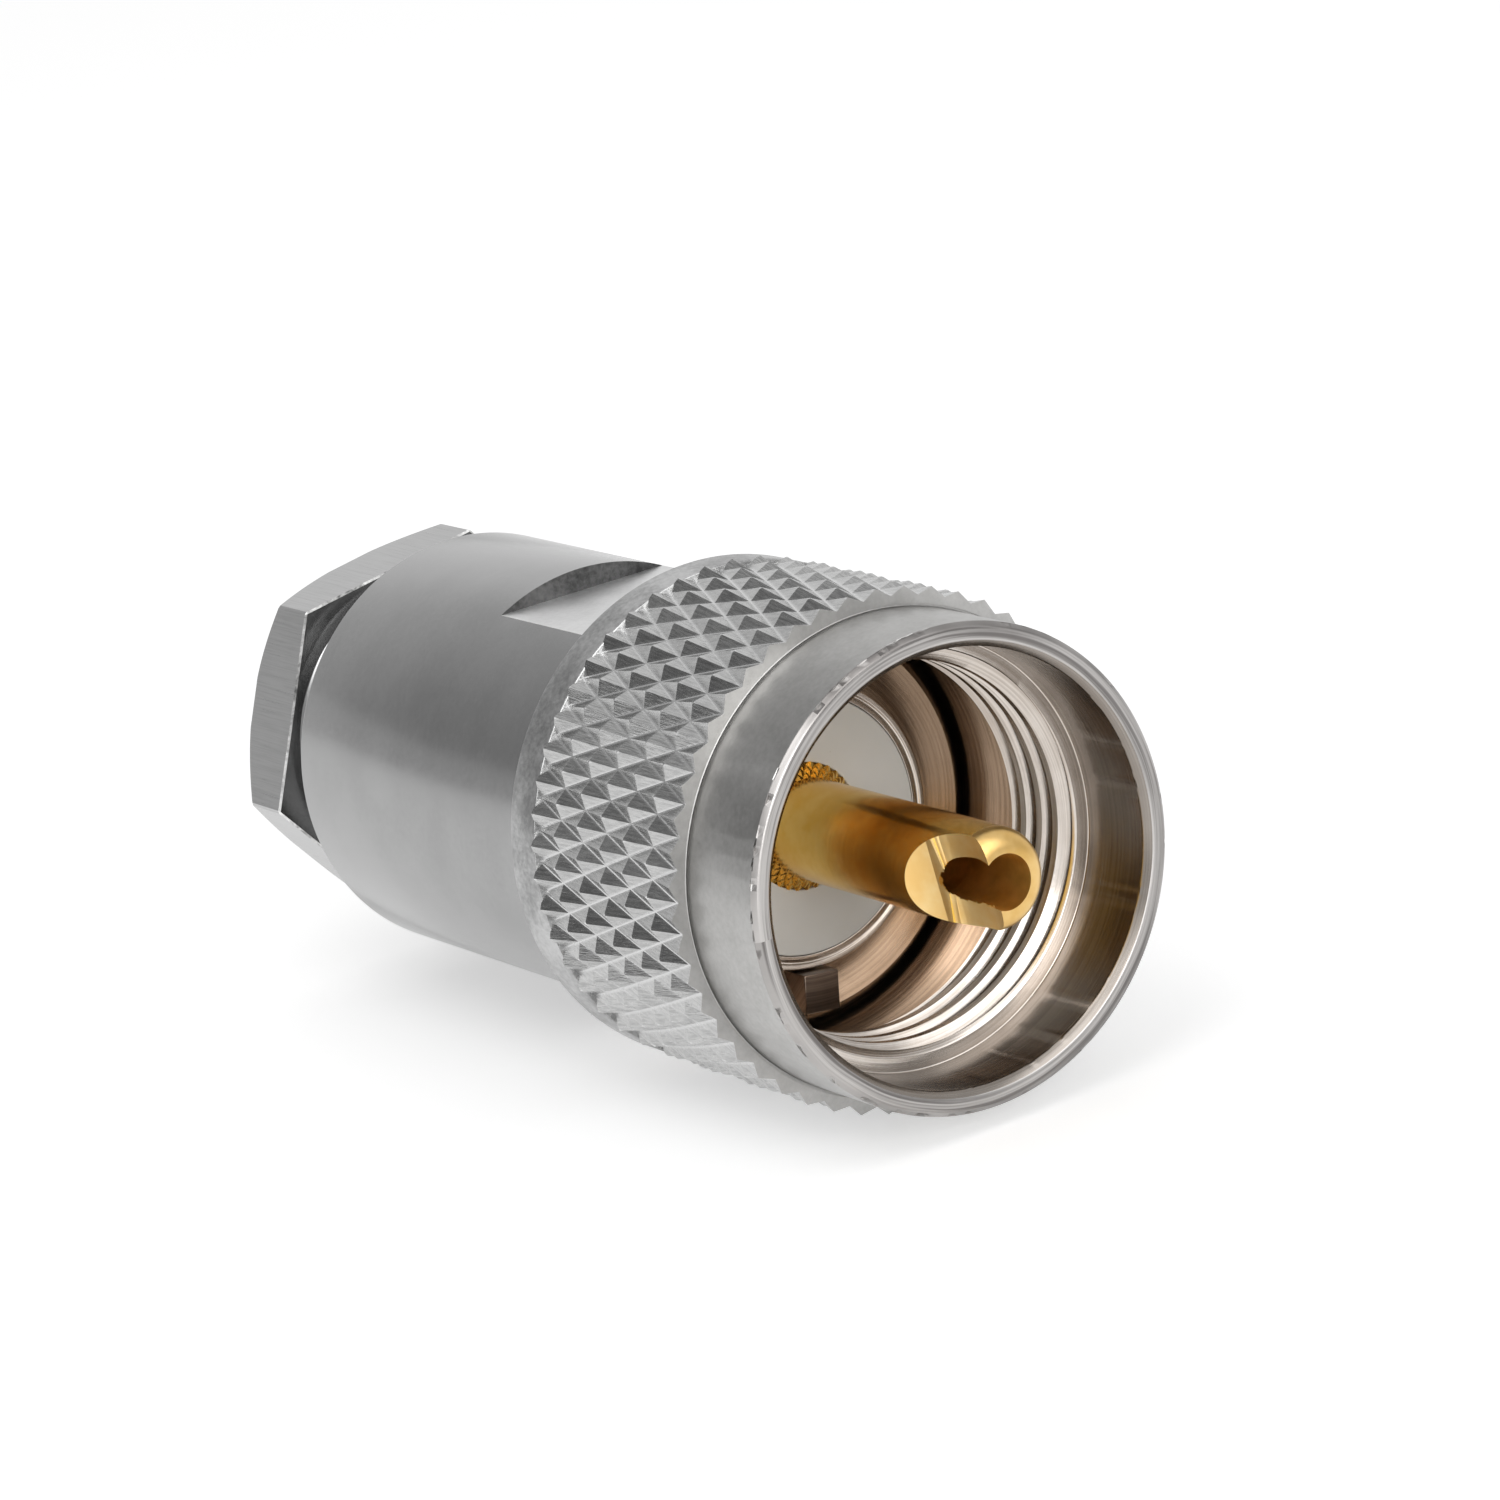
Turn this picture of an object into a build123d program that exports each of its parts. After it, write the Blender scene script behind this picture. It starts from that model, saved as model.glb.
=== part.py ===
from build123d import *
from math import cos, pi, radians, sin, sqrt, tan
import os

# Coaxial UHF plug with a screwed coupling ring and a hexagonal clamping nut, in millimetres.
# The plug's axis is X. The mouth of the coupling ring and the centre pin point towards +X, and the
# cable comes in through the nut at the -X end. X = 0 is the foot of the centre pin, at the front
# face of its knurled collar. Angles are measured about X, from +Y towards +Z.
# The plug lies on its side, so -Z is down.

# Fits shared by the pieces
running_clearance = 0.08
assembly_clearance = 0.03
seat_gap = 0.05

# Centre pin
pin_radius = 1.98
pin_bore_radius = 1.32
pin_length = 13.1
pin_nose_radius = 0.6
pin_shank_radius = 1.75
pin_tail_length = 3.6
solder_cut_start = 9.7
solder_cut_angle = 27.5
solder_cut_direction = 166.0
collar_crest_radius = 2.62
collar_valley_radius = 2.42
collar_length = 1.2
collar_stand_out = 0.6
collar_knurl_count = 20
collar_knurl_periods = 2

# Insulator
insulator_radius = 5.1
insulator_seat_length = 6.4
insulator_flange_radius = 5.6
insulator_flange_length = 2.4

# Front shell: nose, flange, locating teeth, neck and threaded spigot
nose_wall = 0.54
nose_recess = 0.05
nose_height = 0.75
flange_radius = 8.2
flange_thickness = 1.6
flange_chamfer = 0.5
tooth_inner_radius = 5.75
tooth_outer_radius = 7.3
tooth_width = 1.56
tooth_height = 1.4
tooth_count = 2
tooth_direction = 263.3
neck_radius = 7.42
spigot_radius = 6.6
spigot_length = 6.0
shell_seat_chamfer = 0.6

# Coupling ring, for a 5/8-24 UNEF thread
thread_minor_radius = 7.37
thread_length = 4.1
counterbore_radius = 8.38
counterbore_depth = 3.8
rim_stand_off = 10.4
front_band_radius = 9.36
front_band_length = 4.6
knurl_length = 10.0
knurl_crest_radius = 10.15
knurl_valley_radius = 9.78
knurl_count = 50
knurl_periods = 3
rear_band_radius = 10.0
rear_band_length = 2.0
ring_relief_clearance = 0.25
ring_end_play = 0.4
ring_rear_gap = 0.2
rim_chamfer = 0.2
rim_inner_chamfer = 0.3
band_chamfer = 0.25
knurl_root_wall = 0.3

# Rear barrel
barrel_radius = 8.7
barrel_length = 19.2
barrel_chamfer = 0.25
wrench_flat_length = 8.3
wrench_flat_spacing = 15.6
wrench_flat_direction = 90.0
clamp_chamber_radius = 6.98
thread_lead_in = 0.3

# Cable clamp: braid clamp, gasket and washer
cable_radius = 5.4
cable_clearance = 0.06
braid_nose_length = 0.5
braid_clamp_thickness = 1.75
gasket_thickness = 2.5
washer_thickness = 0.8

# Clamping nut
nut_across_flats = 14.7
nut_hex_thickness = 3.5
nut_corner_direction = 249.5
nut_gap_at_rest = 3.15
nut_bore_chamfer = 0.3
nut_shank_chamfer = 0.4
nut_bottom_gap = 0.05

# Stations along the axis that follow from the sizes above
insulator_face = -collar_stand_out
nose_face = insulator_face - nose_recess
flange_face = nose_face - nose_height
flange_back = flange_face - flange_thickness
nose_radius = insulator_radius + assembly_clearance + nose_wall
insulator_shoulder = insulator_face - insulator_seat_length
insulator_back = insulator_shoulder - insulator_flange_length
lip_face = flange_back - ring_end_play
rim_face = rim_stand_off
step_face = rim_face - front_band_length
counterbore_floor = rim_face - counterbore_depth
thread_end = counterbore_floor - thread_length
knurl_back = step_face - knurl_length
ring_back = knurl_back - rear_band_length
barrel_front = ring_back - ring_rear_gap
barrel_back = barrel_front - barrel_length
spigot_end = barrel_front - spigot_length
clamp_front = spigot_end - seat_gap
clamp_back = clamp_front - braid_clamp_thickness
gasket_front = clamp_back - seat_gap
gasket_back = gasket_front - gasket_thickness
washer_tight_back = gasket_back - seat_gap - washer_thickness
nut_travel_in = nut_gap_at_rest - nut_bottom_gap
washer_back = washer_tight_back - nut_travel_in
washer_front = washer_back + washer_thickness
nut_shank_front = washer_back - seat_gap
nut_face = barrel_back - nut_gap_at_rest
nut_back = nut_face - nut_hex_thickness

# Radii that follow from the sizes above
shell_bore_radius = insulator_radius + assembly_clearance
shell_counterbore_radius = insulator_flange_radius + assembly_clearance
lip_bore_radius = neck_radius + running_clearance
relief_radius = flange_radius + ring_relief_clearance
barrel_front_bore_radius = spigot_radius + assembly_clearance
cable_way_radius = cable_radius + cable_clearance
clamp_outer_radius = clamp_chamber_radius - running_clearance
nut_corner_radius = nut_across_flats / sqrt(3)


def turned(*profile):
    """A solid of revolution about X, from its half profile of (x, radius) points."""
    return revolve(make_face(Polyline(*profile, close=True)), Axis.X)


def sleeve(x_back, x_front, inner_radius, outer_radius):
    """A plain tube on the X axis."""
    return turned((x_back, inner_radius), (x_front, inner_radius), (x_front, outer_radius), (x_back, outer_radius))


def cross_plane(x):
    """The plane across the axis at station x, with its local x along Y and local y along Z."""
    return Plane(origin=(x, 0, 0), x_dir=(0, 1, 0), z_dir=(1, 0, 0))


def around_axis(x, radius, degrees):
    """A point at station x, at a radius and an angle about the axis."""
    angle = radians(degrees)
    return (x, radius * cos(angle), radius * sin(angle))


def knurled_log(x_back, x_front, valley_radius, crest_radius, count, periods):
    """A solid log with a diamond knurl: a four-sided pyramid on each diamond between two sets of grooves.

    The tips stand a quarter of a diamond off the Y and Z axes, so the log lies on two rows of them.
    """
    half_pitch = 180 / count
    steps = 2 * periods
    stations = []
    for step in range(steps + 1):
        x = x_back + (x_front - x_back) * step / steps
        radii = [valley_radius if (step + place) % 2 == 0 else crest_radius for place in range(2 * count)]
        stations.append([around_axis(x, radius, (place + 0.5) * half_pitch) for place, radius in enumerate(radii)])
    faces = []
    for step in range(steps):
        near, far = stations[step], stations[step + 1]
        for place in range(2 * count):
            after = (place + 1) % (2 * count)
            if (step + place) % 2 == 0:
                corners = [(near[place], far[place], far[after]), (near[place], far[after], near[after])]
            else:
                corners = [(near[place], far[place], near[after]), (near[after], far[place], far[after])]
            faces += [Face(Wire.make_polygon(corner, close=True)) for corner in corners]
    faces += [Face(Wire.make_polygon(station, close=True)) for station in (stations[0], stations[-1])]
    return Solid(Shell(faces))


def make_coupling_ring():
    """The knurled ring: counterbore, threaded land, relief and the rear lip that turns on the neck."""
    root_radius = knurl_valley_radius - knurl_root_wall
    core = turned(
        (rim_face, counterbore_radius + rim_inner_chamfer),
        (rim_face, front_band_radius - rim_chamfer),
        (rim_face - rim_chamfer, front_band_radius),
        (step_face, front_band_radius),
        (step_face, root_radius),
        (knurl_back, root_radius),
        (knurl_back, rear_band_radius),
        (ring_back + band_chamfer, rear_band_radius),
        (ring_back, rear_band_radius - band_chamfer),
        (ring_back, lip_bore_radius),
        (lip_face, lip_bore_radius),
        (lip_face, relief_radius),
        (thread_end, relief_radius),
        (thread_end, thread_minor_radius),
        (counterbore_floor, thread_minor_radius),
        (counterbore_floor, counterbore_radius),
        (rim_face - rim_inner_chamfer, counterbore_radius),
    )
    log = knurled_log(knurl_back, step_face, knurl_valley_radius, knurl_crest_radius, knurl_count, knurl_periods)
    hollow = Plane.YZ * Cylinder(root_radius, 4 * knurl_length)
    return core + (log - Pos(knurl_back, 0, 0) * hollow)


def make_front_shell():
    """The front shell: nose round the insulator, flange with locating teeth, neck and threaded spigot."""
    body = turned(
        (nose_face, shell_bore_radius),
        (nose_face, nose_radius),
        (flange_face, nose_radius),
        (flange_face, flange_radius - flange_chamfer),
        (flange_face - flange_chamfer, flange_radius),
        (flange_back, flange_radius),
        (flange_back, neck_radius),
        (barrel_front, neck_radius),
        (barrel_front, spigot_radius),
        (spigot_end, spigot_radius),
        (spigot_end, shell_counterbore_radius + shell_seat_chamfer),
        (spigot_end + shell_seat_chamfer, shell_counterbore_radius),
        (insulator_shoulder, shell_counterbore_radius),
        (insulator_shoulder, shell_bore_radius),
    )
    for index in range(tooth_count):
        body += make_locating_tooth(tooth_direction + 360 * index / tooth_count)
    return body


def make_locating_tooth(direction):
    """One rectangular tooth that stands on the flange and drops into the socket's serrated edge."""
    depth = tooth_outer_radius - tooth_inner_radius
    middle = (tooth_inner_radius + tooth_outer_radius) / 2
    block = Box(tooth_height, depth, tooth_width, align=(Align.MIN, Align.CENTER, Align.CENTER))
    return Rot(direction, 0, 0) * Pos(flange_face, middle, 0) * block


def make_insulator():
    """The insulator: a turned bead with a rear flange, bored for the pin and its collar."""
    pin_hole_radius = pin_shank_radius + assembly_clearance
    collar_hole_radius = collar_crest_radius + assembly_clearance
    return turned(
        (insulator_face, collar_hole_radius),
        (insulator_face, insulator_radius),
        (insulator_shoulder - seat_gap, insulator_radius),
        (insulator_shoulder - seat_gap, insulator_flange_radius),
        (insulator_back, insulator_flange_radius),
        (insulator_back, pin_hole_radius),
        (-collar_length, pin_hole_radius),
        (-collar_length, collar_hole_radius),
    )


def make_centre_pin():
    """The hollow centre pin: knurled collar, plain shank, rounded nose and the slanted solder opening."""
    tail_end = insulator_back - pin_tail_length
    pin = turned((-collar_length, 0), (pin_length, 0), (pin_length, pin_radius), (-collar_length, pin_radius))
    nose_edge = pin.edges().filter_by(GeomType.CIRCLE).sort_by(Axis.X)[-1]
    pin = fillet(nose_edge, pin_nose_radius)
    pin += turned((tail_end, 0), (-collar_length, 0), (-collar_length, pin_shank_radius), (tail_end, pin_shank_radius))
    pin += knurled_log(
        -collar_length, 0, collar_valley_radius, collar_crest_radius, collar_knurl_count, collar_knurl_periods
    )
    bore = turned((tail_end, 0), (pin_length, 0), (pin_length, pin_bore_radius), (tail_end, pin_bore_radius))
    return pin - bore - make_solder_cutter()


def make_solder_cutter():
    """The block that takes away one side of the nose along a slanted plane."""
    side = radians(solder_cut_direction)
    slope = radians(solder_cut_angle)
    normal = (sin(slope), cos(slope) * cos(side), cos(slope) * sin(side))
    start = around_axis(solder_cut_start, pin_radius, solder_cut_direction)
    width = 2 * pin_length
    return extrude(Plane(origin=start, z_dir=normal) * Rectangle(width, width), amount=width)


def make_rear_barrel():
    """The rear barrel: screwed over the spigot, with two wrench flats and the chamber for the clamp."""
    barrel = turned(
        (barrel_front, barrel_front_bore_radius),
        (barrel_front, barrel_radius),
        (barrel_back + barrel_chamfer, barrel_radius),
        (barrel_back, barrel_radius - barrel_chamfer),
        (barrel_back, clamp_chamber_radius + thread_lead_in),
        (barrel_back + thread_lead_in, clamp_chamber_radius),
        (spigot_end, clamp_chamber_radius),
        (spigot_end, barrel_front_bore_radius),
    )
    flat_depth = barrel_radius - wrench_flat_spacing / 2
    block = Box(wrench_flat_length, 2 * flat_depth, 2 * barrel_radius, align=(Align.MAX, Align.MIN, Align.CENTER))
    for direction in (wrench_flat_direction, wrench_flat_direction + 180):
        barrel -= Rot(direction, 0, 0) * Pos(barrel_front, wrench_flat_spacing / 2, 0) * block
    return barrel


def make_braid_clamp():
    """The braid clamp: a flanged ring whose coned nose presses the braid on the shell's seat."""
    nose_tip = clamp_front + braid_nose_length
    tip_radius = shell_counterbore_radius - running_clearance
    return turned(
        (nose_tip, cable_way_radius),
        (nose_tip, tip_radius),
        (clamp_front, tip_radius + braid_nose_length),
        (clamp_front, clamp_outer_radius),
        (clamp_back, clamp_outer_radius),
        (clamp_back, cable_way_radius),
    )


def make_clamp_nut():
    """The clamping nut: a hexagon, chamfered at the back, on a threaded shank with the cable's bore."""
    corners = [around_axis(0, nut_corner_radius, nut_corner_direction + 60 * index)[1:] for index in range(6)]
    hexagon = extrude(cross_plane(nut_back) * make_face(Polyline(*corners, close=True)), amount=nut_hex_thickness)
    corner_set_back = nut_corner_radius - nut_across_flats / 2
    chamfered = turned(
        (nut_back, 0),
        (nut_face, 0),
        (nut_face, nut_corner_radius),
        (nut_back + corner_set_back, nut_corner_radius),
        (nut_back, nut_across_flats / 2),
    )
    shank = turned(
        (nut_back, 0),
        (nut_shank_front, 0),
        (nut_shank_front, clamp_outer_radius - nut_shank_chamfer),
        (nut_shank_front - nut_shank_chamfer, clamp_outer_radius),
        (nut_back, clamp_outer_radius),
    )
    bore = turned(
        (nut_back, 0),
        (nut_shank_front, 0),
        (nut_shank_front, cable_radius),
        (nut_back + nut_bore_chamfer, cable_radius),
        (nut_back, cable_radius + nut_bore_chamfer),
    )
    return (hexagon & chamfered) + shank - bore


pieces = {
    "coupling_ring": make_coupling_ring(),
    "front_shell": make_front_shell(),
    "insulator": make_insulator(),
    "centre_pin": make_centre_pin(),
    "rear_barrel": make_rear_barrel(),
    "braid_clamp": make_braid_clamp(),
    "gasket": sleeve(gasket_back, gasket_front, cable_way_radius, clamp_outer_radius),
    "clamp_washer": sleeve(washer_back, washer_front, cable_way_radius, clamp_outer_radius),
    "clamp_nut": make_clamp_nut(),
}

os.makedirs("parts", exist_ok=True)
for name, piece in pieces.items():
    export_step(piece, f"parts/{name}.step")
    box = piece.bounding_box()
    print(f"{name}: volume {piece.volume:.1f}, x {box.min.X:.2f} to {box.max.X:.2f}, solids {len(piece.solids())}")
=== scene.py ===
"""Visual model of a coaxial UHF cable plug: coupling ring, centre pin, insulator, shells and clamping nut.

Every piece is turned or milled in millimetres about the plug's axis, which is X, and then brought to metres
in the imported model's frame. The mouth of the ring and the pin point towards +X. Angles about the axis are in
degrees from +Y towards +Z.
"""

from __future__ import annotations

import logging
import math
import random
from collections.abc import Callable, Iterable, Sequence
from dataclasses import dataclass
from enum import Enum

import bmesh
import bpy
from mathutils import Matrix, Vector

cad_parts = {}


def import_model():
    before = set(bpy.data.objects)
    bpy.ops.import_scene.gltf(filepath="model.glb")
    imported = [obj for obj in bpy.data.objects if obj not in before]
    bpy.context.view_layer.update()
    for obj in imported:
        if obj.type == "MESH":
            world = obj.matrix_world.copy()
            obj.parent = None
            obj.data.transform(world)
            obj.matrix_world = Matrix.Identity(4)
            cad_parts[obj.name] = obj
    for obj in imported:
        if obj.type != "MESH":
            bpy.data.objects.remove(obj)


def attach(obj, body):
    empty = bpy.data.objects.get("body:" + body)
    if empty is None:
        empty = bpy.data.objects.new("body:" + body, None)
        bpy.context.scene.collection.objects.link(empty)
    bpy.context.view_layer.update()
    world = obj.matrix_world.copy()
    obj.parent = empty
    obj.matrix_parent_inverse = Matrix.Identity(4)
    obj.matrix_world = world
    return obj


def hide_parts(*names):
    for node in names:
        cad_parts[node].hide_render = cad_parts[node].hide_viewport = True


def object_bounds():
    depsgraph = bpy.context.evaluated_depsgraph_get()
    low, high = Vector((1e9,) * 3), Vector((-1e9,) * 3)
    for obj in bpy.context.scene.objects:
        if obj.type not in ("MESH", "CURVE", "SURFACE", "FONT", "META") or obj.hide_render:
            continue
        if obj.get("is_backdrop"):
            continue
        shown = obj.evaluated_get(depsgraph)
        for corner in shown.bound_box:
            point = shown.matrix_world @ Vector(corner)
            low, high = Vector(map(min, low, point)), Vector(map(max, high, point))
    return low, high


log = logging.getLogger("uhf_plug")

MILLIMETRE = 0.001
SHARP_ANGLE = 22.0
ORIGIN = (0.0, 0.0, 0.0)
AXIS = (1.0, 0.0, 0.0)
# One turn of a thread: shares of the pitch along it, and shares of the depth from crest to root
CREST_SHAPE = ((0.0, 0.07), (0.03, 0.0), (0.21, 0.0), (0.24, 0.07))
ROOT_SHAPE = ((0.52, 0.93), (0.58, 1.0), (0.66, 1.0), (0.72, 0.93))
TIP_UNEVENNESS = 0.03

Profile = Sequence[tuple[float, float]]
Triple = tuple[float, float, float]


class Slot(Enum):
    """The record's material slots."""

    NICKEL = "nickel_plate"
    GOLD = "gold_plate"
    INSULATOR = "insulator_white"
    RUBBER = "gasket_rubber"


class Body(Enum):
    """The bodies that the pieces ride on."""

    PLUG = "plug_body"
    RING = "ring"
    WASHER = "washer"
    NUT = "nut"


class Cut(Enum):
    """What a boolean does with its tool."""

    JOIN = "UNION"
    REMOVE = "DIFFERENCE"
    KEEP_COMMON = "INTERSECT"


# Shader graphs


class Level:
    """A number carried by a shader socket. Arithmetic on it adds Math nodes."""

    def __init__(self, graph: Graph, socket: bpy.types.NodeSocket) -> None:
        """Wraps a socket of the graph."""
        self.graph = graph
        self.socket = socket

    def maths(self, operation: str, *others: Level | float, clamp: bool = False) -> Level:
        """Adds a Math node with this value first.

        Args:
            operation: The Math node's operation.
            others: Its other operands.
            clamp: Whether the result is kept between 0 and 1.

        Returns:
            The result as a new value.
        """
        settings = {"operation": operation, "use_clamp": clamp}
        made = self.graph.node("ShaderNodeMath", settings, dict(enumerate((self, *others))))
        return Level(self.graph, made.outputs[0])

    def __add__(self, other: Level | float) -> Level:
        """Sum."""
        return self.maths("ADD", other)

    __radd__ = __add__

    def __sub__(self, other: Level | float) -> Level:
        """Difference."""
        return self.maths("SUBTRACT", other)

    def __rsub__(self, other: float) -> Level:
        """Difference with a number on the left."""
        made = self.graph.node("ShaderNodeMath", {"operation": "SUBTRACT"}, {0: other, 1: self})
        return Level(self.graph, made.outputs[0])

    def __mul__(self, other: Level | float) -> Level:
        """Product."""
        return self.maths("MULTIPLY", other)

    __rmul__ = __mul__

    def clamped(self) -> Level:
        """The value kept between 0 and 1."""
        return self.maths("ADD", 0.0, clamp=True)

    def between(self, low: float, high: float) -> Level:
        """A smooth step.

        Args:
            low: Where the step starts, at 0.
            high: Where it ends, at 1.

        Returns:
            The step as a value from 0 to 1.
        """
        settings = {"interpolation_type": "SMOOTHSTEP", "clamp": True}
        made = self.graph.node("ShaderNodeMapRange", settings, {0: self, 1: low, 2: high, 3: 0.0, 4: 1.0})
        return Level(self.graph, made.outputs[0])


class Graph:
    """The node tree of a material or of the world."""

    def __init__(self, tree: bpy.types.NodeTree) -> None:
        """Empties the tree and wraps it."""
        self.tree = tree
        tree.nodes.clear()

    def node(self, kind: str, settings: dict[str, object], inputs: dict[int | str, object]) -> bpy.types.Node:
        """Adds one node.

        Args:
            kind: The node's type.
            settings: Its properties, which are set before its sockets.
            inputs: Values, links or shader values by socket name or number.

        Returns:
            The new node.
        """
        made = self.tree.nodes.new(kind)
        for name, value in settings.items():
            setattr(made, name, value)
        for name, value in inputs.items():
            if isinstance(value, Level):
                value = value.socket
            if isinstance(value, bpy.types.NodeSocket):
                self.tree.links.new(value, made.inputs[name])
            else:
                made.inputs[name].default_value = value
        return made

    def place(self) -> bpy.types.NodeSocket:
        """The point on the piece in millimetres, from Object coordinates."""
        point = self.node("ShaderNodeTexCoord", {}, {}).outputs["Object"]
        return self.node("ShaderNodeMapping", {}, {0: point, 3: (1.0 / MILLIMETRE,) * 3}).outputs[0]

    def parts(self, vector: bpy.types.NodeSocket) -> tuple[Level, Level, Level]:
        """The x, y and z of a vector."""
        split = self.node("ShaderNodeSeparateXYZ", {}, {0: vector})
        return tuple(Level(self, socket) for socket in split.outputs)

    def vector(self, x: Level | float, y: Level | float, z: Level | float) -> bpy.types.NodeSocket:
        """A vector from three values."""
        return self.node("ShaderNodeCombineXYZ", {}, {0: x, 1: y, 2: z}).outputs[0]

    def noise(self, vector: bpy.types.NodeSocket, scale: float, detail: float, rough: float) -> Level:
        """Noise from 0 to 1 at a scale per millimetre."""
        inputs = {"Vector": vector, "Scale": scale, "Detail": detail, "Roughness": rough}
        return Level(self, self.node("ShaderNodeTexNoise", {}, inputs).outputs[0])

    def blend(self, factor: Level, first: object, second: object) -> bpy.types.NodeSocket:
        """A colour between two colours."""
        colours = [(*c, 1.0) if isinstance(c, tuple) else c for c in (first, second)]
        made = self.node("ShaderNodeMix", {"data_type": "RGBA"}, {0: factor, 6: colours[0], 7: colours[1]})
        return made.outputs[2]

    def bump(self, height: Level, depth: float) -> bpy.types.NodeSocket:
        """A normal from a height of 0 to 1, where 1 stands for a depth in millimetres."""
        inputs = {"Height": height, "Distance": depth * MILLIMETRE, "Strength": 1.0}
        return self.node("ShaderNodeBump", {}, inputs).outputs[0]

    def around(self, vector: bpy.types.NodeSocket) -> tuple[Level, Level, Level]:
        """Place along the axis, distance from it and angle about it in radians."""
        x, y, z = self.parts(vector)
        return x, (y * y + z * z).maths("SQRT"), z.maths("ARCTAN2", y)


# Finishes


@dataclass(frozen=True)
class Finish:
    """A finish of the plug: its plain values, and a method that paints its surface."""

    name: str
    colour: Triple
    stain: Triple
    roughness: float
    metallic: float = 1.0

    def surface(self, graph: Graph) -> dict[int | str, object]:
        """The inputs of the surface's shader that vary over it."""
        raise NotImplementedError

    def constants(self) -> dict[int | str, object]:
        """The inputs of the surface's shader that are the same all over."""
        return {"Metallic": self.metallic}

    def material(self) -> bpy.types.Material:
        """Makes the finish's material, once.

        Returns:
            The material.
        """
        known = bpy.data.materials.get(self.name)
        if known is not None:
            return known
        made = bpy.data.materials.new(self.name)
        made.use_nodes = True
        graph = Graph(made.node_tree)
        shader = graph.node("ShaderNodeBsdfPrincipled", {}, {**self.constants(), **self.surface(graph)})
        graph.node("ShaderNodeOutputMaterial", {}, {"Surface": shader.outputs[0]})
        return made


@dataclass(frozen=True)
class SatinNickel(Finish):
    """Satin nickel plate on the outer turned faces, slightly mottled."""

    line_depth: float = 0.0012
    mottle: float = 0.5

    def surface(self, graph: Graph) -> dict[int | str, object]:
        """Mottled grey with fine turning marks."""
        place = graph.place()
        x, radius, _ = graph.around(place)
        cloud = graph.noise(place, 0.33, 3.0, 0.6)
        grain = graph.noise(place, 4.5, 3.0, 0.65)
        speck = graph.noise(place, 9.0, 2.0, 0.5).between(0.66, 0.74)
        lines = graph.noise(graph.vector(x * 14.0, radius * 14.0, 0.0), 1.0, 2.0, 0.6)
        # On the nut's edge finish this mottle breaks the painted highlight with painted near-black patches.
        worn = (cloud * 0.6 + grain * 0.4).between(0.3, 0.7)
        colour = graph.blend(speck * 0.35, graph.blend(worn, self.stain, self.colour), self.stain)
        rough = self.roughness + (grain - 0.5) * 0.10 + (cloud - 0.5) * 0.12 * self.mottle
        height = grain * 0.7 + lines * 0.3
        return {"Base Color": colour, "Roughness": rough, "Normal": graph.bump(height, self.line_depth)}


@dataclass(frozen=True)
class CutNickel(Finish):
    """Nickel plate on the faces cut in the ring's mouth, bright, with turning lines round the axis."""

    lines_per_mm: float = 6.0
    line_depth: float = 0.004
    line_share: float = 0.5

    def surface(self, graph: Graph) -> dict[int | str, object]:
        """Turning lines that vary round the axis."""
        place = graph.place()
        x, radius, angle = graph.around(place)
        drift = graph.noise(place, 0.25, 2.0, 0.5)
        across = x * self.lines_per_mm + radius * self.lines_per_mm + drift * 0.6
        lines = graph.noise(graph.vector(across, angle * 0.5, 0.0), 1.0, 3.0, 0.65)
        cloud = graph.noise(place, 0.7, 3.0, 0.6)
        share = lines.between(0.35, 0.65) * self.line_share + cloud * (1.0 - self.line_share)
        colour = graph.blend(share, self.stain, self.colour)
        rough = self.roughness + (lines - 0.5) * 0.14
        return {"Base Color": colour, "Roughness": rough, "Normal": graph.bump(lines, self.line_depth)}


@dataclass(frozen=True)
class KnurledNickel(Finish):
    """Nickel plate on the knurl, dragged along the axis by the knurling wheels and worn on the tips."""

    valley: float = 9.78
    crest: float = 10.15
    worn_colour: Triple = (0.74, 0.74, 0.74)

    def surface(self, graph: Graph) -> dict[int | str, object]:
        """Drag marks along the axis, pale grooves and pale tips."""
        place = graph.place()
        x, radius, angle = graph.around(place)
        marks = graph.noise(graph.vector(x * 1.2, angle * 110.0, 0.0), 1.0, 3.0, 0.7)
        cloud = graph.noise(place, 1.3, 3.0, 0.6)
        groove = 1.0 - radius.between(self.valley + 0.01, self.valley + 0.07)
        patchy = graph.noise(place, 3.5, 2.0, 0.6).between(0.45, 0.6)
        worn = radius.between(self.crest - 0.09, self.crest - 0.03) * patchy
        colour = graph.blend(marks.between(0.36, 0.60) * 0.6 + cloud * 0.4, self.stain, self.colour)
        colour = graph.blend((groove * 0.6 + worn).clamped(), colour, self.worn_colour)
        rough = self.roughness + (marks - 0.5) * 0.16
        return {"Base Color": colour, "Roughness": rough, "Normal": graph.bump(marks, 0.012)}


@dataclass(frozen=True)
class MilledNickel(Finish):
    """Nickel plate on the nut's flats, with fine marks along the axis from milling."""

    def surface(self, graph: Graph) -> dict[int | str, object]:
        """Marks along the axis that vary round it."""
        place = graph.place()
        x, _, angle = graph.around(place)
        marks = graph.noise(graph.vector(x * 0.25, angle * 95.0, 0.0), 1.0, 3.0, 0.7)
        cloud = graph.noise(place, 0.4, 3.0, 0.6)
        colour = graph.blend(marks.between(0.3, 0.62) * 0.6 + cloud * 0.4, self.stain, self.colour)
        rough = self.roughness + (marks - 0.5) * 0.15
        return {"Base Color": colour, "Roughness": rough, "Normal": graph.bump(marks, 0.004)}


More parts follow.
